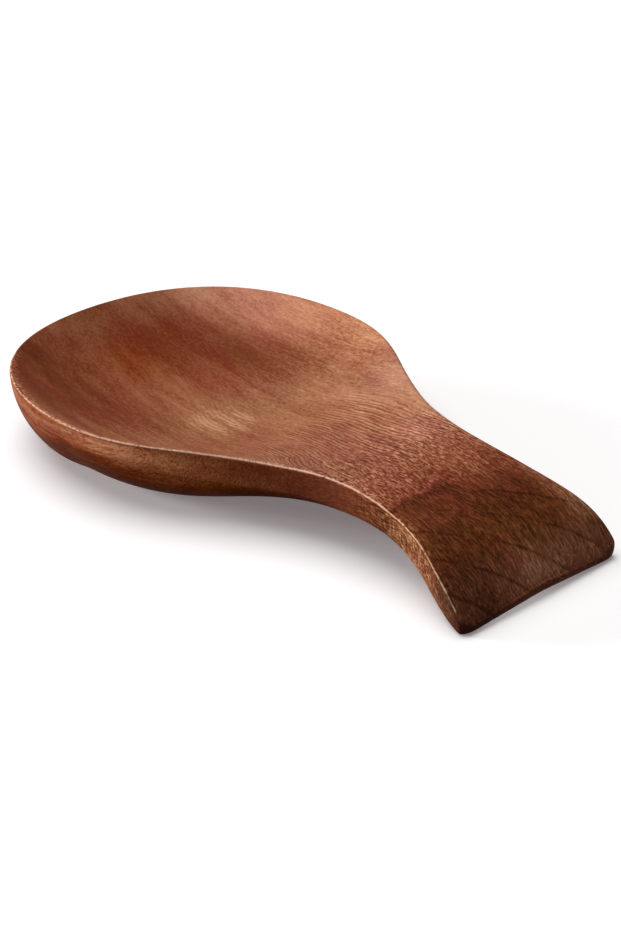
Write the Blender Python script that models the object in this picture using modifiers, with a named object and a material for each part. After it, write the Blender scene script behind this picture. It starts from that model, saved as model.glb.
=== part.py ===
"""Wooden spoon rest, carved from one hardwood board.

A round dish runs up through a waist into a flared handle, whose end dips to the table. The body is a
loft: at each step along the plan outline one section goes from the middle of the upper face out to the
rim, over the rounded edge, down the wall and back to the middle of the underside. Mirror adds the far
half. Stations along the length are measured from the lip of the dish, which is at station 0.
"""
import math

import bmesh
import bpy
import numpy as np
from mathutils import Vector
from mathutils.geometry import interpolate_bezier

MM = 0.001

# Plan sizes
LENGTH = 240.0 * MM
DISH_HALF_WIDTH = 70.5 * MM
DISH_WIDEST_FROM_LIP = 72.5 * MM
WAIST_HALF_WIDTH = 29.0 * MM
WAIST_FROM_END = 55.0 * MM
END_HALF_WIDTH = 38.0 * MM
END_CORNER_LENGTH = 2.5 * MM
END_CORNER_WIDTH = 6.0 * MM
END_FLARE = math.radians(4.0)

# Plan curves, with each tangent as a share of the stretch that it shapes
LIP_FULLNESS = 0.62
DISH_FRONT_FULLNESS = 0.63
SHOULDER_FULLNESS = 0.46
FLANK_PLACE = 0.515
FLANK_DROP = 0.555
FLANK_STEEPNESS = 1.63
FLANK_FULLNESS = 0.32
WAIST_FRONT_FULLNESS = 0.38
WAIST_BACK_FULLNESS = 0.62
END_FULLNESS = 0.35

# Rim line in side view: level round the dish, then a bend down to the handle end
RIM_HEIGHT = 26.5 * MM
RIM_RADIUS = 1.1 * MM
BEND_FROM_END = 88.5 * MM
BEND_FULLNESS = 0.04
DIP_ANGLE = math.radians(61.0)
DIP_FULLNESS = 0.40
END_THICKNESS = 2.2 * MM
END_CROWN = 1.2 * MM

# Hollow of the dish, and the ramp that runs out before the waist
FLOOR_THICKNESS = 6.5 * MM
DISH_DEEPEST_FROM_LIP = 88.0 * MM
DISH_ROUNDNESS = 2.2
RAMP_END_BEFORE_WAIST = 7.0 * MM

# Wall round the dish, which curves in to a flat foot
FOOT_INSET_AT_LIP = 23.5 * MM
FOOT_INSET_AT_SIDE = 19.5 * MM
FOOT_END_FROM_LIP = 118.5 * MM

# Arch under the handle, down to the pad under its end
HANDLE_THICKNESS = 11.3 * MM
HANDLE_UNDER_ROUND = 2.0 * MM
ARCH_PEAK_FROM_END = 53.5 * MM
ARCH_FOOT_FULLNESS = 0.35
ARCH_FRONT_FULLNESS = 0.75
ARCH_BACK_FULLNESS = 0.42
ARCH_END_FULLNESS = 0.28
ARCH_END_ANGLE = math.radians(20.0)
END_UNDER_ROUND = 1.4 * MM
END_PAD_LENGTH = 2.0 * MM

# Where the fanned sections of the lip and of the handle end start on the middle line
LIP_FAN = 48.0 * MM
DISH_FAN = 80.0 * MM
CORNER_FAN_FROM_END = 18.0 * MM
END_SIDE_FAN_FROM_END = 15.0 * MM
END_FAN_FROM_END = 8.0 * MM

# Steps along each stretch of the outline, and across each stretch of a section
LIP_STEPS = 20
SHOULDER_STEPS = 13
NECK_STEPS = 11
HANDLE_STEPS = 14
CORNER_STEPS = 5
END_STEPS = 6
UPPER_STEPS = 11
EDGE_STEPS = 4
WALL_STEPS = 8
UNDER_STEPS = 6
PROFILE_STEPS = 48
CROWDING = 1.7

WOOD_COLOUR = (0.235, 0.105, 0.052, 1.0)
WOOD_ROUGHNESS = 0.48
MERGE_DISTANCE = 0.00001

# Places that follow from the sizes
WAIST_AT = LENGTH - WAIST_FROM_END
BEND_AT = LENGTH - BEND_FROM_END
ARCH_PEAK_AT = LENGTH - ARCH_PEAK_FROM_END
PAD_AT = LENGTH - END_UNDER_ROUND - END_PAD_LENGTH
ARCH_HEIGHT = RIM_HEIGHT - HANDLE_THICKNESS
DISH_DEPTH = RIM_HEIGHT - FLOOR_THICKNESS
RAMP_LENGTH = WAIST_AT - RAMP_END_BEFORE_WAIST - DISH_DEEPEST_FROM_LIP


def bezier(start, start_handle, end_handle, end, steps):
    """Points of one cubic curve, from its ends and the offsets of its two handles."""
    first = Vector(start)
    last = Vector(end)
    knots = (first, first + Vector(start_handle), last + Vector(end_handle), last)
    return [tuple(point) for point in interpolate_bezier(*knots, steps + 1)]


def chain(stretches):
    """Join curves end to end, with each shared point kept once."""
    points = list(stretches[0])
    for stretch in stretches[1:]:
        points.extend(stretch[1:])
    return np.array(points)


def smooth(value):
    """Ease from 0 to 1."""
    value = min(max(value, 0.0), 1.0)
    return value * value * (3.0 - 2.0 * value)


def crowded(steps):
    """Shares from 0 to 1 with steps that shorten towards 1, so that the loft is finest beside an edge."""
    return 1.0 - np.linspace(1.0, 0.0, steps + 1) ** CROWDING


def plan_outline():
    """Half outline from the lip to the middle of the handle end, in stretches."""
    lip = Vector((0.0, 0.0))
    widest = Vector((DISH_WIDEST_FROM_LIP, DISH_HALF_WIDTH))
    waist = Vector((WAIST_AT, WAIST_HALF_WIDTH))
    corner = Vector((LENGTH - END_CORNER_LENGTH, END_HALF_WIDTH))
    end_side = Vector((LENGTH, END_HALF_WIDTH - END_CORNER_WIDTH))
    end_middle = Vector((LENGTH, 0.0))
    run = waist.x - widest.x
    drop = widest.y - waist.y
    flank = Vector((widest.x + FLANK_PLACE * run, widest.y - FLANK_DROP * drop))
    down_flank = Vector((run, -FLANK_STEEPNESS * drop)) * FLANK_FULLNESS
    up_flare = Vector((math.cos(END_FLARE), math.sin(END_FLARE)))
    handle_run = corner.x - waist.x
    quarter = 4.0 / 3.0 * math.tan(math.pi / 8.0)
    return (
        bezier(lip, (0.0, LIP_FULLNESS * widest.y), (-DISH_FRONT_FULLNESS * widest.x, 0.0), widest,
               LIP_STEPS),
        bezier(widest, (SHOULDER_FULLNESS * (flank.x - widest.x), 0.0), -down_flank * FLANK_PLACE, flank,
               SHOULDER_STEPS),
        bezier(flank, down_flank * (1.0 - FLANK_PLACE), (-WAIST_FRONT_FULLNESS * (waist.x - flank.x), 0.0),
               waist, NECK_STEPS),
        bezier(waist, (WAIST_BACK_FULLNESS * handle_run, 0.0), -up_flare * END_FULLNESS * handle_run, corner,
               HANDLE_STEPS),
        bezier(corner, up_flare * quarter * END_CORNER_LENGTH, (0.0, quarter * END_CORNER_WIDTH), end_side,
               CORNER_STEPS),
        bezier(end_side, (0.0, 0.0), (0.0, 0.0), end_middle, END_STEPS),
    )


def section_feet(stretches):
    """Station on the middle line that each point of the outline looks to."""
    flank_at = stretches[2][0][0]
    fans = (
        DISH_FAN,
        flank_at,
        WAIST_AT,
        LENGTH - CORNER_FAN_FROM_END,
        LENGTH - END_SIDE_FAN_FROM_END,
        LENGTH - END_FAN_FROM_END,
    )
    feet = [LIP_FAN]
    for points, fan in zip(stretches, fans):
        feet.extend(np.linspace(feet[-1], fan, len(points))[1:])
    return np.array(feet)


def rim_profile():
    """Side view of the rim line."""
    start = (BEND_AT, RIM_HEIGHT)
    end = (LENGTH, END_THICKNESS)
    down_dip = Vector((-math.cos(DIP_ANGLE), math.sin(DIP_ANGLE))) * DIP_FULLNESS * BEND_FROM_END
    bend = bezier(start, (BEND_FULLNESS * BEND_FROM_END, 0.0), down_dip, end, PROFILE_STEPS)
    return chain([[(0.0, RIM_HEIGHT), start], bend])


def arch_profile():
    """Side view of the underside: foot, arch and the pad under the handle end."""
    foot_end = (FOOT_END_FROM_LIP, 0.0)
    peak = (ARCH_PEAK_AT, ARCH_HEIGHT)
    pad = (PAD_AT, 0.0)
    rise_run = ARCH_PEAK_AT - FOOT_END_FROM_LIP
    fall_run = PAD_AT - ARCH_PEAK_AT
    landing = Vector((-math.cos(ARCH_END_ANGLE), math.sin(ARCH_END_ANGLE))) * ARCH_END_FULLNESS * fall_run
    rise = bezier(foot_end, (ARCH_FOOT_FULLNESS * rise_run, 0.0), (-ARCH_FRONT_FULLNESS * rise_run, 0.0),
                  peak, PROFILE_STEPS)
    fall = bezier(peak, (ARCH_BACK_FULLNESS * fall_run, 0.0), landing, pad, PROFILE_STEPS)
    return chain([[(0.0, 0.0), foot_end], rise, fall, [pad, (LENGTH, 0.0)]])


class Body:
    """Heights of the carved faces over the plan, and the sections that follow them."""

    def __init__(self):
        stretches = plan_outline()
        self.outline = chain(stretches)
        self.feet = section_feet(stretches)
        self.rim = rim_profile()
        self.arch = arch_profile()
        self.edge = np.array([self.along(step, RIM_RADIUS) for step in range(len(self.feet))])

    def along(self, step, inset):
        """Plan point on a section, at a distance in from the outline."""
        start = self.outline[step]
        way = np.array((self.feet[step], 0.0)) - start
        return start + way * (inset / np.linalg.norm(way))

    def to_handle(self, station):
        """0 round the dish, 1 from the waist on."""
        return smooth((station - DISH_WIDEST_FROM_LIP) / (WAIST_AT - DISH_WIDEST_FROM_LIP))

    def to_end(self, station):
        """0 up to the waist, 1 at the handle end."""
        return smooth((station - WAIST_AT) / WAIST_FROM_END)

    def crown(self, station, side):
        """The handle end is a little higher in the middle than at its corners."""
        return END_CROWN * self.to_end(station) * (1.0 - (side / END_HALF_WIDTH) ** 2)

    def hollow(self, station, side):
        """Depth of the dish: full at its deepest point, none at the rim, run out along the ramp."""
        back = station - DISH_DEEPEST_FROM_LIP
        if back < 0.0:
            along = 1.0 - min(back / (RIM_RADIUS - DISH_DEEPEST_FROM_LIP), 1.0) ** 2
        else:
            along = 1.0 - smooth(back / RAMP_LENGTH)
        half_width = max(float(np.interp(station, self.edge[:, 0], self.edge[:, 1])), MERGE_DISTANCE)
        across = 1.0 - min(side / half_width, 1.0) ** 2
        return DISH_DEPTH * (1.0 - (1.0 - along * across) ** (DISH_ROUNDNESS / 2.0))

    def upper(self, station, side):
        """Height of the upper face."""
        rim = float(np.interp(station, self.rim[:, 0], self.rim[:, 1]))
        return rim + self.crown(station, side) - self.hollow(station, side)

    def under(self, station, side):
        """Height of the underside: the foot is round at its back, and the arch runs straight across."""
        back = max(station - DISH_WIDEST_FROM_LIP, 0.0)
        rounding = math.hypot(back, side) - back
        fade = 1.0 - smooth((station - FOOT_END_FROM_LIP) / (ARCH_PEAK_AT - FOOT_END_FROM_LIP))
        arch = float(np.interp(station + rounding * fade, self.arch[:, 0], self.arch[:, 1]))
        return arch + self.crown(station, side)

    def wall_inset(self, station):
        """How far the wall curves in under the rim: deep round the dish, slight along the handle."""
        round_front = smooth(station / DISH_WIDEST_FROM_LIP)
        inset = FOOT_INSET_AT_LIP + (FOOT_INSET_AT_SIDE - FOOT_INSET_AT_LIP) * round_front
        inset += (HANDLE_UNDER_ROUND - inset) * self.to_handle(station)
        return inset + (END_UNDER_ROUND - HANDLE_UNDER_ROUND) * self.to_end(station)

    def section(self, step):
        """Points from the middle of the upper face round to the middle of the underside."""
        station = self.outline[step][0]
        middle = np.array((self.feet[step], 0.0))
        edge = self.edge[step]
        crest = self.upper(*edge)
        wall_top = crest - RIM_RADIUS
        inset = self.wall_inset(station)
        foot = self.along(step, inset)
        points = []
        for share in crowded(UPPER_STEPS):
            x, y = middle + (edge - middle) * share
            points.append((x, y, self.upper(x, y)))
        for turn in np.linspace(0.0, math.pi / 2.0, EDGE_STEPS + 1)[1:]:
            x, y = self.along(step, RIM_RADIUS * (1.0 - math.sin(turn)))
            points.append((x, y, crest - RIM_RADIUS * (1.0 - math.cos(turn))))
        for turn in np.linspace(0.0, math.pi / 2.0, WALL_STEPS + 1)[1:]:
            x, y = self.along(step, inset * (1.0 - math.cos(turn)))
            low = self.under(x, y)
            points.append((x, y, low + (wall_top - low) * (1.0 - math.sin(turn))))
        for share in crowded(UNDER_STEPS)[-2::-1]:
            x, y = middle + (foot - middle) * share
            points.append((x, y, self.under(x, y)))
        return points


def wood_material():
    material = bpy.data.materials.new("oiled_hardwood")
    material.use_nodes = True
    material.diffuse_color = WOOD_COLOUR
    shader = material.node_tree.nodes["Principled BSDF"]
    shader.inputs["Base Color"].default_value = WOOD_COLOUR
    shader.inputs["Roughness"].default_value = WOOD_ROUGHNESS
    shader.inputs["Metallic"].default_value = 0.0
    return material


def carved_body(collection):
    """Loft the sections of one half and mirror it across the length."""
    body = Body()
    half = bmesh.new()
    rows = []
    for step in range(len(body.feet)):
        rows.append([half.verts.new((x - LENGTH / 2.0, y, z)) for x, y, z in body.section(step)])
    for row, following in zip(rows, rows[1:]):
        for place in range(len(row) - 1):
            half.faces.new((row[place], following[place], following[place + 1], row[place + 1]))
    mesh = bpy.data.meshes.new("carved_body")
    half.to_mesh(mesh)
    half.free()
    mesh.shade_smooth()
    mesh.materials.append(wood_material())
    piece = bpy.data.objects.new("carved_body", mesh)
    collection.objects.link(piece)
    mirror = piece.modifiers.new("far_half", "MIRROR")
    mirror.use_axis = (False, True, False)
    mirror.merge_threshold = MERGE_DISTANCE
    return piece


def main():
    for leftover in list(bpy.data.objects):
        bpy.data.objects.remove(leftover, do_unlink=True)
    collection = bpy.data.collections.new("wooden_spoon_rest")
    bpy.context.scene.collection.children.link(collection)
    carved_body(collection)


main()
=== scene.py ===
"""Looks of the wooden spoon rest: one smooth carved skin in oiled hardwood, on a pale studio floor.

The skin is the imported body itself, with its facets joined and subdivided. Its wood is one solid procedural
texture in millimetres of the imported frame: x runs from the lip of the dish to the handle end, and y across,
with the near side below 0. The tables of the wood name its zones and say what each adds to the colour.
"""
import math

import bmesh
import bpy
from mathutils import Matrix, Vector
from mathutils.kdtree import KDTree


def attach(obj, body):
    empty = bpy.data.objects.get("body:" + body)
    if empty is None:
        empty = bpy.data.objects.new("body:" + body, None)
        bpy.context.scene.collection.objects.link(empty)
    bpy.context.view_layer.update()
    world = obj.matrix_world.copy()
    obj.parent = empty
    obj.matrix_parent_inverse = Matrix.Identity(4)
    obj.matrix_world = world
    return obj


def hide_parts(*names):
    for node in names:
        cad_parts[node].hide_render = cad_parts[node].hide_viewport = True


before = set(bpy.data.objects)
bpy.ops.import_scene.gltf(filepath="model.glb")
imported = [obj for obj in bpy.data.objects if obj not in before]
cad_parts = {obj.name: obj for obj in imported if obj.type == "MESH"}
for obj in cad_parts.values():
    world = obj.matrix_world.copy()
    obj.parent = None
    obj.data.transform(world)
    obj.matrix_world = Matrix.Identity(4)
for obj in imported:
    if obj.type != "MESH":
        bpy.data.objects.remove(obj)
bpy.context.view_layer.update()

NODE = "carved_body"
BODY = "root"
MM = 0.001
WHITE = (1.0, 1.0, 1.0, 1.0)

# Skin: how close corners are welded, and how flat and square two facets must be to make one quad
WELD = 0.001 * MM
JOIN_ANGLE = math.radians(50.0)
JOIN_SKEW = math.radians(70.0)
SKIN_LEVELS = 2

# Rim: the two marks on the skin, the turns at which a corner starts to count as rim and counts in full,
# the least upward facing of a rim corner, and the mark above which it is on the crest
RIM = "rim"
RIM_GAP = "rim_gap"
RIM_TURN = math.radians(14.0)
RIM_SHARP = math.radians(21.0)
RIM_FACING = 0.0
RIM_CREST = 0.5

# Camera
CAMERA_AIM = Vector((22.75, -13.08, 15.0)) * MM
CAMERA_DISTANCE = 698.0 * MM
CAMERA_AZIMUTH = math.radians(-42.78)
CAMERA_ELEVATION = math.radians(27.84)
SENSOR = 36.0
FOCAL_PIXELS = 2000.0
FRAME_LONG_SIDE = 931.0

# Lights: the direction points to the light, the level is what a white face square to it would show, and the
# angle is how wide it looks
LIGHTS = (
    ("key", (-0.845, -0.53, 0.11), 1.22, math.radians(22.0)),
    ("top", (-0.48, 0.06, 0.87), 0.80, math.radians(60.0)),
)

# World: the fill, and the upward slopes of a view at which the white wall ends and is in full
FILL_LEVEL = 0.10
WALL_TOP = 0.35
WALL_FADE = 0.20

# Floor: its colour for stray light, and the strength and colour of its glow for the eye
FLOOR_HALF_SIZE = 30.0
FLOOR_BOUNCE = (0.28, 0.28, 0.28, 1.0)
FLOOR_LIFT = 0.18
FLOOR_GLOW = (1.0, 0.88, 0.90, 1.0)

# Sockets of a Mix node for colours
MIX_SHARE = 0
MIX_FIRST = 6
MIX_SECOND = 7
MIX_RESULT = 2

# Wood colours from the darkest pore to the palest figure, in linear light, by tone
WOOD_TONES = (
    (0.00, (0.060, 0.014, 0.005)),
    (0.25, (0.150, 0.037, 0.013)),
    (0.45, (0.238, 0.061, 0.025)),
    (0.60, (0.328, 0.114, 0.053)),
    (0.80, (0.445, 0.192, 0.095)),
    (1.00, (0.631, 0.328, 0.181)),
)
SPECULAR = 0.02
BUMP_STRENGTH = 0.25
BUMP_DISTANCE = 0.15 * MM

# Run of the fibres: they fan out from a line on the far side, climb the ramp, and bend down with the handle
FAN = 0.26
FAN_RUN = (-12.0, 48.0)
FAN_LINE = 60.0
CLIMB = 19.0
CLIMB_RUN = (-30.0, 72.0)
BEND = 0.0102
BEND_START = 75.0

# Sideways shifts of the fibres: height of the shift, and length of a blob of its noise along x, y and z
SHIFTS = {
    "wander": (5.0, (70.0, 24.0, 24.0)),
    "ripple": (1.6, (9.0, 5.0, 5.0)),
}

# Noises: the vector they read, length of a blob along x, y and z, detail and roughness
NOISES = {
    "bands": ("striped", (150.0, 11.0, 11.0), 3.0, 0.5),
    "smudges": ("grain", (30.0, 5.0, 5.0), 3.0, 0.6),
    "fibres": ("grain", (14.0, 0.75, 0.9), 3.0, 0.6),
    "stipple": ("grain", (1.6, 0.8, 0.8), 1.0, 0.5),
    "strings": ("grain", (16.0, 0.55, 1.6), 1.0, 0.5),
    "pores": ("grain", (3.2, 0.44, 0.44), 2.0, 0.6),
    "end_grain": ("plain", (3.4, 0.44, 0.44), 2.0, 0.6),
    "rays": ("fanned", (0.65, 0.65, 4.0), 1.0, 0.5),
    "waver": ("plain", (18.0, 14.0, 14.0), 2.0, 0.5),
    "wall_lines": ("plain", (30.0, 30.0, 1.8), 2.0, 0.5),
    "hue_drift": ("plain", (30.0, 12.0, 12.0), 3.0, 0.5),
}


def rise(field, start, end):
    """Limit for the tables: 0 up to start, 1 from end on. It falls where end is below start."""
    return "rise", field, start, end


def bell(field, middle, reach):
    """Limit for the tables: 1 at the middle, 0 from the reach on, on both sides."""
    return "bell", field, middle, reach


def wave(field, spacing):
    """Limit for the tables: a sine with this spacing, from -1 to 1."""
    return "wave", field, spacing


def either(first, second):
    """Limit for the tables: the greater of two limits."""
    return "either", first, second


# Fields of the wood, made in this order from the ones before them. A list is the product of its limits, and
# a limit may be a field's name. A pair is a base plus fields times their weights.
FIELDS = {
    # Faces
    "upper": [rise("facing", 0.05, 0.35)],
    "wall": [rise("facing", 0.35, 0.05)],
    "above_foot": [rise("facing", -0.95, -0.80)],
    "slanted_y": (0.0, {"y": 1.0, "x": -0.45}),
    "near_side": [rise("y", 0.0, -10.0), rise("slanted_y", 8.0, -6.0)],
    "far_side": (1.0, {"near_side": -1.0}),
    "near_wall": ["wall", "near_side"],
    # Dish: a dark heart band, a second one along the near side, and a painted sheen and light on the far wall
    "in_dish": [rise("x", 5.0, -35.0)],
    "calm_left": [rise("x", -42.0, -68.0)],
    "off_heart": (-85.0, {"across": 1.0, "x": -0.80}),
    "heart_strength": (1.0, {"smudges": 2.5}),
    "heart": [bell("off_heart", 0.0, 28.0), rise("x", -20.0, -46.0), "heart_strength"],
    "near_band": [bell("across", -44.0, 28.0), rise("x", -30.0, -60.0)],
    # Painted sheen and light: the far wall made paler and brighter
    "past_far_sheen": (-60.0, {"across": 1.0, "x": -0.23}),
    "painted_far_sheen": [rise("past_far_sheen", -9.0, 9.0), rise("x", -132.0, -108.0), rise("x", 40.0, -110.0)],
    "tan_band": [bell("across", -6.0, 20.0), rise("x", -95.0, -65.0), rise("x", -20.0, -40.0)],
    "mid_run": [bell("y", 7.0, 13.0), rise("x", -100.0, -80.0), rise("x", 15.0, -15.0)],
    "far_band": [bell("x", -56.0, 26.0), bell("y", 49.0, 10.0)],
    "far_right": [bell("x", 0.0, 32.0), rise("y", 24.0, 44.0)],
    "left_shade": [bell("x", -78.0, 22.0), bell("y", -28.0, 30.0)],
    "lip": [rise("x", -75.0, -105.0)],
    "lip_end": [rise("x", -96.0, -112.0)],
    "lip_edge": [rise("x", -104.0, -114.0), rise("y", 8.0, -14.0), "upper"],
    "lip_middle": [bell("x", -88.0, 20.0), bell("y", -6.0, 18.0)],
    "near_lip": [bell("across", -46.0, 26.0), rise("x", -65.0, -92.0)],
    "upper_left": ["lip_end", bell("y", 18.0, 36.0)],
    "basin": [bell("x", -32.0, 45.0), "upper"],
    "near_basin": [bell("x", 6.0, 32.0), bell("y", -5.0, 20.0), "upper"],
    "patch": [bell("x", -25.0, 22.0), bell("y", 33.0, 13.0)],
    "middle": [bell("y", 10.0, 48.0)],
    "warm_middle": (0.45, {"middle": 1.0}),
    "off_lip": (1.0, {"lip_end": -0.5}),
    "warm_dish": [rise("x", -32.0, -66.0), "off_lip", "warm_middle", "upper"],
    # Dish floor: a pale ladder of short bowed bars
    "ladder": [bell("x", -36.0, 17.0), bell("y", -4.0, 20.0)],
    "ladder_x": (37.0, {"x": 1.0}),
    "bow": ["ladder_x", "ladder_x"],
    "bar_place": (0.0, {"fanned": 1.0, "bow": -0.03, "ripple": 1.0}),
    "bars": [wave("bar_place", 2.0)],
    "smudged_bars": ["bars", "smudges"],
    # Handle: a dark end behind a curved boundary, partly darker wood and partly painted shade where the
    # handle slopes down, with late-wood lines
    "before_across": (76.0, {"x": -1.0, "waver": -5.0}),
    "before_along": (44.48, {"x": -0.576, "y": 0.8, "waver": -3.2}),
    "before_dark": [either("before_across", "before_along")],
    "far_handle": [rise("x", 60.0, 90.0), rise("y", -6.0, 6.0)],
    "far_dark": (0.0, {"far_handle": 0.9}),
    "dark_wood_and_shade_end": [
        either(rise("before_dark", 1.5, -2.5), "far_dark"),
        either("upper", rise("x", 84.0, 114.0)),
    ],
    # Darker still towards the tip: darker wood and painted shade of the steep slope
    "deep_end_and_shade": ["dark_wood_and_shade_end", rise("x", 80.0, 97.0)],
    "upper_dark": ["dark_wood_and_shade_end", "upper"],
    "brown_end": ["upper_dark", rise("x", 86.0, 104.0)],
    "dark_core": [bell("x", 93.0, 18.0), bell("y", 10.0, 26.0)],
    "edge_line": [bell("before_dark", -1.5, 3.0), rise("x", 112.0, 96.0), "upper"],
    "edge_shade": [bell("before_across", 2.0, 14.0), rise("y", 15.0, -5.0)],
    "line_place": (158.75, {"y": 1.0, "x": -1.4, "wander": 1.0, "ripple": 0.7}),
    "line_wave": [wave("line_place", 19.0)],
    "lines": [rise("line_wave", 0.91, 1.0), rise("x", 82.0, 94.0), rise("waver", -0.18, 0.0), "upper_dark"],
    "tip": [rise("x", 102.0, 116.0)],
    "end_lift": [rise("x", 92.0, 120.0), "upper"],
    "end_glow": [rise("x", 106.0, 118.0), rise("y", -26.0, -12.0), rise("y", 36.0, 22.0)],
    "far_glow": [bell("y", 34.0, 14.0), rise("x", 76.0, 90.0), rise("x", 114.0, 103.0)],
    "near_strip": [rise("y", -23.0, -31.0), rise("x", 70.0, 80.0), rise("x", 112.0, 102.0), "upper"],
    "near_tip": [rise("y", 0.0, -26.0), rise("x", 88.0, 110.0)],
    # Ramp and neck: combed lines that keep clear of the rim, then flecks and rays, calmer in the dark end
    "on_ramp": [rise("x", -25.0, 12.0), rise("x", 70.0, 42.0), "upper"],
    "far_ramp": ["on_ramp", rise("y", 6.0, 34.0)],
    "from_rim": (0.0, {"rim_gap": 1.0, "x": 0.45}),
    "clear_ramp": ["on_ramp", rise("from_rim", 11.0, 24.0)],
    "string_place": (0.0, {"across": 1.0, "ripple": 0.9, "fibres": 0.8}),
    "string_wave": [wave("string_place", 1.45)],
    "combed_strings": [rise("string_wave", 0.0, 0.9), rise("smudges", -0.24, 0.04)],
    "loose_strings": [rise("strings", 0.02, -0.08)],
    "neck": [rise("x", 20.0, 58.0), either("upper", rise("x", 55.0, 75.0))],
    "upper_neck": ["neck", "upper"],
    "off_dark": (1.0, {"dark_wood_and_shade_end": -0.42}),
    "open_neck": ["neck", "off_dark"],
    "neck_run": [rise("x", 25.0, 60.0), rise("x", 112.0, 100.0), "upper"],
    "neck_patch": [bell("x", 46.0, 12.0), bell("y", -4.0, 10.0), "upper"],
    "neck_far": [bell("x", 44.0, 24.0), rise("y", 4.0, 18.0)],
    "flecks": [rise("pores", -0.07, 0.10)],
    # Wall from the lip to the end face
    "left_wall": ["wall", rise("x", 30.0, -5.0)],
    "dish_wall": ["wall", rise("x", 45.0, 5.0)],
    "warm_wall": (0.0, {"wall": 0.4, "dish_wall": 0.7}),
    "warm": [either("warm_dish", "warm_wall")],
    "rich_wall": ["near_wall", bell("x", 8.0, 44.0)],
    # Painted light: the outer wall under the dish made lighter where it faces away from the lamps
    "painted_wall_light": ["wall", bell("x", -12.0, 40.0), rise("facing", -0.62, -0.30)],
    # Painted sheen: a soft highlight band along the middle of the near wall
    "painted_wall_sheen": ["near_wall", bell("x", -12.0, 34.0), bell("facing", -0.18, 0.26)],
    # Painted light: the upper near wall at the lip made lighter
    "painted_lip_wall_light": ["near_wall", rise("x", 0.0, -20.0), rise("facing", -0.24, -0.02)],
    "under_rim": ["near_wall", rise("rim_gap", 7.0, 2.0), rise("x", -30.0, 10.0)],
    "off_left": [rise("x", -35.0, -15.0)],
    "under": (0.0, {"facing": 1.0, "off_left": 0.12}),
    # Painted shade: the wall darker the more it faces down
    "wall_under_shade": ["wall", "above_foot", rise("under", -0.20, -0.55), rise("x", 60.0, 20.0)],
    "low_near": ["near_wall", "above_foot"],
    # Painted shade low on the near wall, down to the foot
    "low_left_shade": ["low_near", rise("x", -10.0, -34.0), rise("facing", -0.24, -0.46)],
    "low_right_shade": ["low_near", rise("x", 2.0, 18.0), rise("x", 60.0, 35.0), rise("facing", -0.32, -0.52)],
    "base_shade": ["low_near", rise("facing", -0.52, -0.74)],
    # Painted shade on the outer wall under the neck and handle
    "neck_wall_shade": ["wall", rise("x", 10.0, 50.0), rise("x", 98.0, 72.0)],
    "side": ["wall", rise("x", 42.0, 88.0), rise("x", 118.0, 110.0)],
    "side_glow": ["side", bell("x", 98.0, 18.0)],
    # Painted shade on the handle's end face
    "end_face_shade": ["wall", rise("x", 112.0, 117.0)],
    # Rim: a painted highlight along the near side, painted shade on the far side and at the end
    "near_edge": ["near_side", rise("x", 119.0, 115.0)],
    "hatch": ["near_edge", rise("rim_gap", 3.6, 1.0), rise("facing", 0.45, 0.75)],
    "right_run": [rise("x", -60.0, 0.0)],
    "highlight_breaks": (0.55, {"right_run": 0.45, "smudges": 1.5, "stipple": 2.0}),
    # Painted highlight along the near rim's rounding, broken up by noise
    "painted_rim_highlight": ["rim", "near_edge", bell("facing", 0.76, 0.28), "highlight_breaks"],
    # Painted shade on the rim at the handle end
    "end_rim_shade": ["rim", rise("x", 110.0, 115.0)],
    # Painted shade on the far rim, darkest in a thin line along its outer edge
    "far_rim": ["rim", "far_side"],
    "far_rim_right": ["far_rim", rise("x", -20.0, 20.0)],
    "far_edge_shade": ["far_rim", rise("facing", 0.80, 0.40), rise("x", -30.0, -5.0), rise("x", 118.0, 90.0)],
}

# Looks of the wood, each a base plus fields times their weights
# Painted light and shade among these: sheen and light on the far and near walls, the near rim's highlight,
# shade on the lower and neck walls, end face and rims, and part of the dark end
TONE = (0.58, {
    "heart": -0.15,
    "near_band": -0.15,
    "painted_far_sheen": 0.12,
    "tan_band": 0.14,
    "mid_run": 0.04,
    "far_band": -0.05,
    "far_right": -0.08,
    "left_shade": -0.02,
    "lip": -0.01,
    "lip_edge": 0.12,
    "near_lip": -0.07,
    "upper_left": 0.085,
    "basin": 0.05,
    "near_basin": 0.13,
    "patch": 0.14,
    "ladder": 0.18,
    "dark_wood_and_shade_end": -0.30,
    "deep_end_and_shade": -0.11,
    "dark_core": -0.09,
    "edge_line": -0.06,
    "edge_shade": -0.12,
    "lines": -0.20,
    "end_lift": 0.10,
    "end_glow": 0.25,
    "far_glow": 0.35,
    "near_strip": 0.12,
    "near_tip": -0.10,
    "on_ramp": 0.045,
    "far_ramp": 0.13,
    "open_neck": -0.115,
    "neck_patch": 0.08,
    "neck_far": 0.12,
    "painted_wall_light": 0.18,
    "painted_wall_sheen": 0.12,
    "painted_lip_wall_light": 0.13,
    "under_rim": -0.03,
    "wall_under_shade": -0.20,
    "low_left_shade": -0.15,
    "low_right_shade": -0.34,
    "base_shade": -0.14,
    "neck_wall_shade": -0.19,
    "side_glow": 0.12,
    "end_face_shade": -0.12,
    "hatch": 0.06,
    "painted_rim_highlight": 0.85,
    "end_rim_shade": -0.12,
    "far_rim": -0.06,
    "far_rim_right": -0.03,
    "far_edge_shade": -0.30,
})
HUE = (0.5, {
    "hue_drift": 0.03,
    "warm": -0.006,
    "upper_neck": -0.006,
    "side": 0.010,
    "upper_dark": 0.006,
    "brown_end": 0.006,
    "heart": 0.004,
    "wall_under_shade": 0.003,
})
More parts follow.
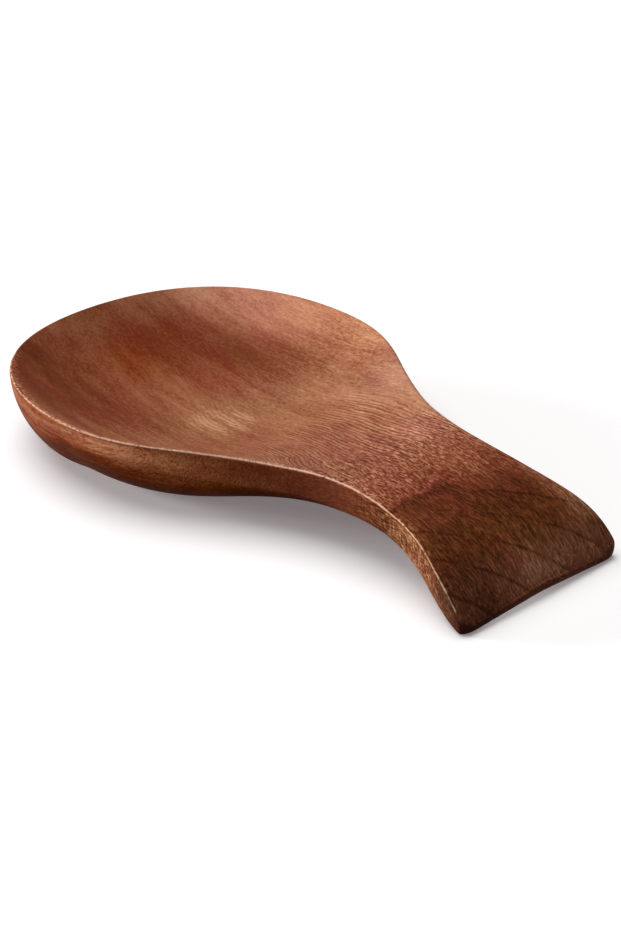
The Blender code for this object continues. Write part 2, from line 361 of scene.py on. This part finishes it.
SATURATION = (1.0, {
    "warm_dish": 0.045,
    "neck_run": 0.015,
    "dish_wall": 0.08,
    "on_ramp": -0.05,
    "tip": -0.06,
    "painted_rim_highlight": -0.22,
    "wall_under_shade": 0.09,
    "base_shade": 0.06,
    "rich_wall": 0.04,
    "lip_middle": 0.05,
    "far_right": -0.06,
    "far_glow": -0.06,
    "painted_far_sheen": -0.095,
})
# Brightness: painted sheen on the far wall and the near wall, painted light on the wall under the dish, and
# the near rim's painted highlight
VALUE = (1.0, {"painted_far_sheen": 0.72, "painted_rim_highlight": 0.25, "painted_wall_sheen": 0.75, "painted_wall_light": 0.22})
ROUGHNESS = (0.48, {"fibres": 0.3, "pores": -0.2})
RELIEF = (0.0, {"fibres": 0.5, "pores": 0.8})

# Tone that each texture adds: the texture times a base plus fields times their weights
TEXTURES = {
    "bands": (0.40, {}),
    "smudges": (0.22, {"in_dish": 0.25, "ladder": 0.5}),
    "fibres": (0.55, {"in_dish": -0.13, "calm_left": -0.12, "left_wall": 0.45}),
    "stipple": (0.40, {"in_dish": 0.10, "calm_left": -0.20, "dark_wood_and_shade_end": -0.18, "hatch": 0.9}),
    "pores": (0.30, {"in_dish": 0.15, "calm_left": -0.18}),
    "flecks": (0.0, {"open_neck": 0.34}),
    "rays": (0.0, {"open_neck": 0.60, "side": 0.60}),
    "combed_strings": (0.0, {"clear_ramp": -0.32}),
    "loose_strings": (0.0, {"clear_ramp": -0.176}),
    "bars": (0.0, {"ladder": 0.10}),
    "smudged_bars": (0.0, {"ladder": 0.5}),
    "wall_lines": (0.0, {"left_wall": 0.63}),
    "end_grain": (0.0, {"side": 1.7}),
}


class Wiring:
    """Short names for the nodes of one node tree. Every value may be a number or another node's socket."""

    def __init__(self, owner):
        owner.use_nodes = True
        self.tree = owner.node_tree
        self.tree.nodes.clear()

    def feed(self, socket, value):
        if isinstance(value, bpy.types.NodeSocket):
            self.tree.links.new(value, socket)
        else:
            socket.default_value = value

    def node(self, kind, values=(), **settings):
        node = self.tree.nodes.new("ShaderNode" + kind)
        for name, setting in settings.items():
            setattr(node, name, setting)
        for name, value in dict(values).items():
            self.feed(node.inputs[name], value)
        return node

    def math(self, operation, first, second=0.0):
        node = self.node("Math", operation=operation)
        self.feed(node.inputs[0], first)
        self.feed(node.inputs[1], second)
        return node.outputs[0]

    def add(self, *terms):
        total = terms[0]
        for term in terms[1:]:
            total = self.math("ADD", total, term)
        return total

    def times(self, *factors):
        product = factors[0]
        for factor in factors[1:]:
            product = self.math("MULTIPLY", product, factor)
        return product

    def less(self, first, second):
        return self.math("SUBTRACT", first, second)

    def rise(self, value, start, end):
        """0 up to start, 1 from end on, eased between them. It falls where end is below start."""
        values = {"Value": value, "From Min": start, "From Max": end}
        return self.node("MapRange", values, interpolation_type="SMOOTHSTEP").outputs["Result"]

    def bell(self, value, middle, reach):
        """1 at the middle, eased to 0 at the reach on both sides."""
        return self.rise(self.math("ABSOLUTE", self.less(value, middle)), reach, 0.0)

    def wave(self, value, spacing):
        """Sine of a length, from -1 to 1."""
        return self.math("SINE", self.times(value, 2.0 * math.pi / spacing))

    def vector(self, x, y, z):
        return self.node("CombineXYZ", {"X": x, "Y": y, "Z": z}).outputs["Vector"]

    def noise(self, vector, lengths, detail=2.0, roughness=0.5):
        """Noise about 0 whose blobs have these lengths along x, y and z."""
        shrunk = self.node("VectorMath", operation="DIVIDE")
        self.feed(shrunk.inputs[0], vector)
        self.feed(shrunk.inputs[1], lengths)
        values = {"Vector": shrunk.outputs[0], "Scale": 1.0, "Detail": detail, "Roughness": roughness}
        return self.less(self.node("TexNoise", values).outputs["Fac"], 0.5)

    def ramp(self, value, stops):
        node = self.node("ValToRGB", {"Fac": value})
        band = node.color_ramp.elements
        while len(band) < len(stops):
            band.new(1.0)
        for element, (place, colour) in zip(band, stops):
            element.position = place
            element.color = (*colour, 1.0)
        return node.outputs["Color"]

    def seen(self):
        """1 for what the camera sees, straight or in a reflection, and 0 for light on its way round."""
        rays = self.node("LightPath").outputs
        straight = self.math("MAXIMUM", rays["Is Camera Ray"], rays["Is Transmission Ray"])
        return self.math("MAXIMUM", straight, rays["Is Glossy Ray"])

    def surface(self, shader):
        self.node("OutputMaterial", {"Surface": shader})


class WoodWiring(Wiring):
    """Wiring whose fields have names, by which the tables of the wood refer to them."""

    def __init__(self, owner):
        super().__init__(owner)
        self.fields = {}

    def limit(self, limit):
        """Socket for one limit of the tables."""
        if isinstance(limit, str):
            return self.fields[limit]
        kind, *values = limit
        if kind == "either":
            return self.math("MAXIMUM", *map(self.limit, values))
        field, *numbers = values
        eased = {"rise": self.rise, "bell": self.bell, "wave": self.wave}[kind]
        return eased(self.fields[field], *numbers)

    def blend(self, base, weights):
        """Base plus fields times their weights."""
        return self.add(base, *[self.times(self.fields[name], weight) for name, weight in weights.items()])

    def add_fields(self, table):
        """Add a field for each row: the product of a list's limits, or the blend of a pair."""
        for name, rule in table.items():
            if isinstance(rule, list):
                self.fields[name] = self.times(*map(self.limit, rule))
            else:
                self.fields[name] = self.blend(*rule)


def link(name, data):
    thing = bpy.data.objects.new(name, data)
    bpy.context.scene.collection.objects.link(thing)
    return thing


def lay_grain(wood):
    """Add the fields that the tables start from: place in mm, facing, rim marks, fibre run and noises."""
    inside = wood.node("TexCoord").outputs
    scaled = wood.node("VectorMath", operation="SCALE")
    wood.feed(scaled.inputs[0], inside["Object"])
    wood.feed(scaled.inputs["Scale"], 1.0 / MM)
    plain = scaled.outputs[0]
    parts = wood.node("SeparateXYZ", {"Vector": plain}).outputs
    x, y, z = parts["X"], parts["Y"], parts["Z"]
    facing = wood.node("SeparateXYZ", {"Vector": inside["Normal"]}).outputs["Z"]
    wood.fields.update({"x": x, "y": y, "facing": facing})
    for mark in (RIM, RIM_GAP):
        wood.fields[mark] = wood.node("Attribute", attribute_name=mark).outputs["Fac"]
    for name, (height, lengths) in SHIFTS.items():
        wood.fields[name] = wood.times(wood.noise(plain, lengths), height)

    fan = wood.times(wood.rise(x, *FAN_RUN), FAN)
    fanned = wood.add(y, wood.times(fan, wood.less(FAN_LINE, y)))
    across = wood.add(fanned, wood.fields["wander"])
    wood.fields.update({"fanned": fanned, "across": across})
    past_bend = wood.math("MAXIMUM", wood.less(x, BEND_START), 0.0)
    climb = wood.less(wood.times(wood.rise(x, *CLIMB_RUN), CLIMB), wood.times(past_bend, past_bend, BEND))
    vectors = {
        "plain": plain,
        "fanned": wood.vector(x, fanned, z),
        "striped": wood.vector(x, across, z),
        "grain": wood.vector(x, wood.add(across, wood.fields["ripple"]), wood.less(z, climb)),
    }
    for name, (vector, *settings) in NOISES.items():
        wood.fields[name] = wood.noise(vectors[vector], *settings)


def wood_material():
    """Oiled hardwood, figured along x, with painted light and shade laid into its colour in places."""
    material = bpy.data.materials.new("oiled_hardwood")
    wood = WoodWiring(material)
    lay_grain(wood)
    wood.add_fields(FIELDS)
    textures = [wood.times(wood.fields[name], wood.blend(*share)) for name, share in TEXTURES.items()]
    tone = wood.add(wood.blend(*TONE), *textures)
    colour = {
        "Hue": wood.blend(*HUE),
        "Saturation": wood.blend(*SATURATION),
        "Value": wood.blend(*VALUE),
        "Color": wood.ramp(tone, WOOD_TONES),
    }
    relief = {"Strength": BUMP_STRENGTH, "Distance": BUMP_DISTANCE, "Height": wood.blend(*RELIEF)}
    finish = {
        "Base Color": wood.node("HueSaturation", colour).outputs["Color"],
        "Roughness": wood.blend(*ROUGHNESS),
        "Specular IOR Level": SPECULAR,
        "Normal": wood.node("Bump", relief).outputs["Normal"],
    }
    wood.surface(wood.node("BsdfPrincipled", finish).outputs["BSDF"])
    return material


def mark_rim(shape):
    """Note on each corner how sharply the body turns there, and how far off the rim's crest is in mm."""
    layer = shape.verts.layers.float.new(RIM)
    for corner in shape.verts:
        turn = max(edge.calc_face_angle(0.0) for edge in corner.link_edges)
        if corner.normal.z > RIM_FACING:
            corner[layer] = min(1.0, max(0.0, (turn - RIM_TURN) / (RIM_SHARP - RIM_TURN)))
    crest = [corner.co for corner in shape.verts if corner[layer] > RIM_CREST]
    nearest = KDTree(len(crest))
    for place, point in enumerate(crest):
        nearest.insert(point, place)
    nearest.balance()
    gap = shape.verts.layers.float.new(RIM_GAP)
    for corner in shape.verts:
        _, _, distance = nearest.find(corner.co)
        corner[gap] = distance / MM


def carved_skin():
    """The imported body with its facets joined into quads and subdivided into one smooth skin."""
    shape = bmesh.new()
    shape.from_mesh(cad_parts[NODE].data)
    bmesh.ops.remove_doubles(shape, verts=shape.verts, dist=WELD)
    shape.normal_update()
    mark_rim(shape)
    bmesh.ops.join_triangles(
        shape, faces=shape.faces, angle_face_threshold=JOIN_ANGLE, angle_shape_threshold=JOIN_SKEW
    )
    mesh = bpy.data.meshes.new("carved_skin")
    shape.to_mesh(mesh)
    shape.free()
    mesh.shade_smooth()
    mesh.materials.clear()
    mesh.materials.append(wood_material())
    skin = link("carved_skin", mesh)
    finer = skin.modifiers.new("finer", "SUBSURF")
    finer.levels = SKIN_LEVELS
    finer.render_levels = SKIN_LEVELS
    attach(skin, BODY)
    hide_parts(NODE)


def floor_material():
    """Pale floor: white where the camera sees it, and less bright as a source of stray light."""
    material = bpy.data.materials.new("studio_floor")
    wire = Wiring(material)
    seen = wire.seen()
    colour = wire.node("Mix", data_type="RGBA")
    wire.feed(colour.inputs[MIX_SHARE], seen)
    wire.feed(colour.inputs[MIX_FIRST], FLOOR_BOUNCE)
    wire.feed(colour.inputs[MIX_SECOND], WHITE)
    matt = wire.node("BsdfDiffuse", {"Color": colour.outputs[MIX_RESULT]})
    lift = wire.node("Emission", {"Color": FLOOR_GLOW, "Strength": wire.times(seen, FLOOR_LIFT)})
    both = wire.node("AddShader")
    wire.feed(both.inputs[0], matt.outputs[0])
    wire.feed(both.inputs[1], lift.outputs[0])
    wire.surface(both.outputs[0])
    return material


def studio_floor():
    shape = bmesh.new()
    bmesh.ops.create_grid(shape, x_segments=1, y_segments=1, size=FLOOR_HALF_SIZE)
    mesh = bpy.data.meshes.new("studio_floor")
    shape.to_mesh(mesh)
    shape.free()
    mesh.materials.append(floor_material())
    link("studio_floor", mesh)


def soft_light(name, direction, level, angle):
    lamp = bpy.data.lights.new(name, "SUN")
    lamp.energy = level * math.pi
    lamp.angle = angle
    link(name, lamp).rotation_euler = Vector(direction).to_track_quat("Z", "Y").to_euler()


def studio_world():
    """Even fill all round, and a white wall low down behind the floor for the eye."""
    world = bpy.data.worlds.new("studio")
    bpy.context.scene.world = world
    wire = Wiring(world)
    up = wire.node("SeparateXYZ", {"Vector": wire.node("TexCoord").outputs["Generated"]}).outputs["Z"]
    wall = wire.times(wire.seen(), wire.rise(up, WALL_TOP, WALL_FADE))
    strength = wire.add(FILL_LEVEL, wire.times(wall, 1.0 - FILL_LEVEL))
    light = wire.node("Background", {"Color": WHITE, "Strength": strength})
    wire.node("OutputWorld", {"Surface": light.outputs[0]})


def photo_camera():
    data = bpy.data.cameras.new("photo_camera")
    data.sensor_width = SENSOR
    data.lens = FOCAL_PIXELS * SENSOR / FRAME_LONG_SIDE
    level = math.cos(CAMERA_ELEVATION)
    back = Vector(
        (
            level * math.cos(CAMERA_AZIMUTH),
            level * math.sin(CAMERA_AZIMUTH),
            math.sin(CAMERA_ELEVATION),
        )
    )
    camera = link("photo_camera", data)
    camera.location = CAMERA_AIM + back * CAMERA_DISTANCE
    camera.rotation_euler = back.to_track_quat("Z", "Y").to_euler()
    bpy.context.scene.camera = camera


bpy.context.scene.view_settings.view_transform = "Standard"
carved_skin()
studio_floor()
for light in LIGHTS:
    soft_light(*light)
studio_world()
photo_camera()
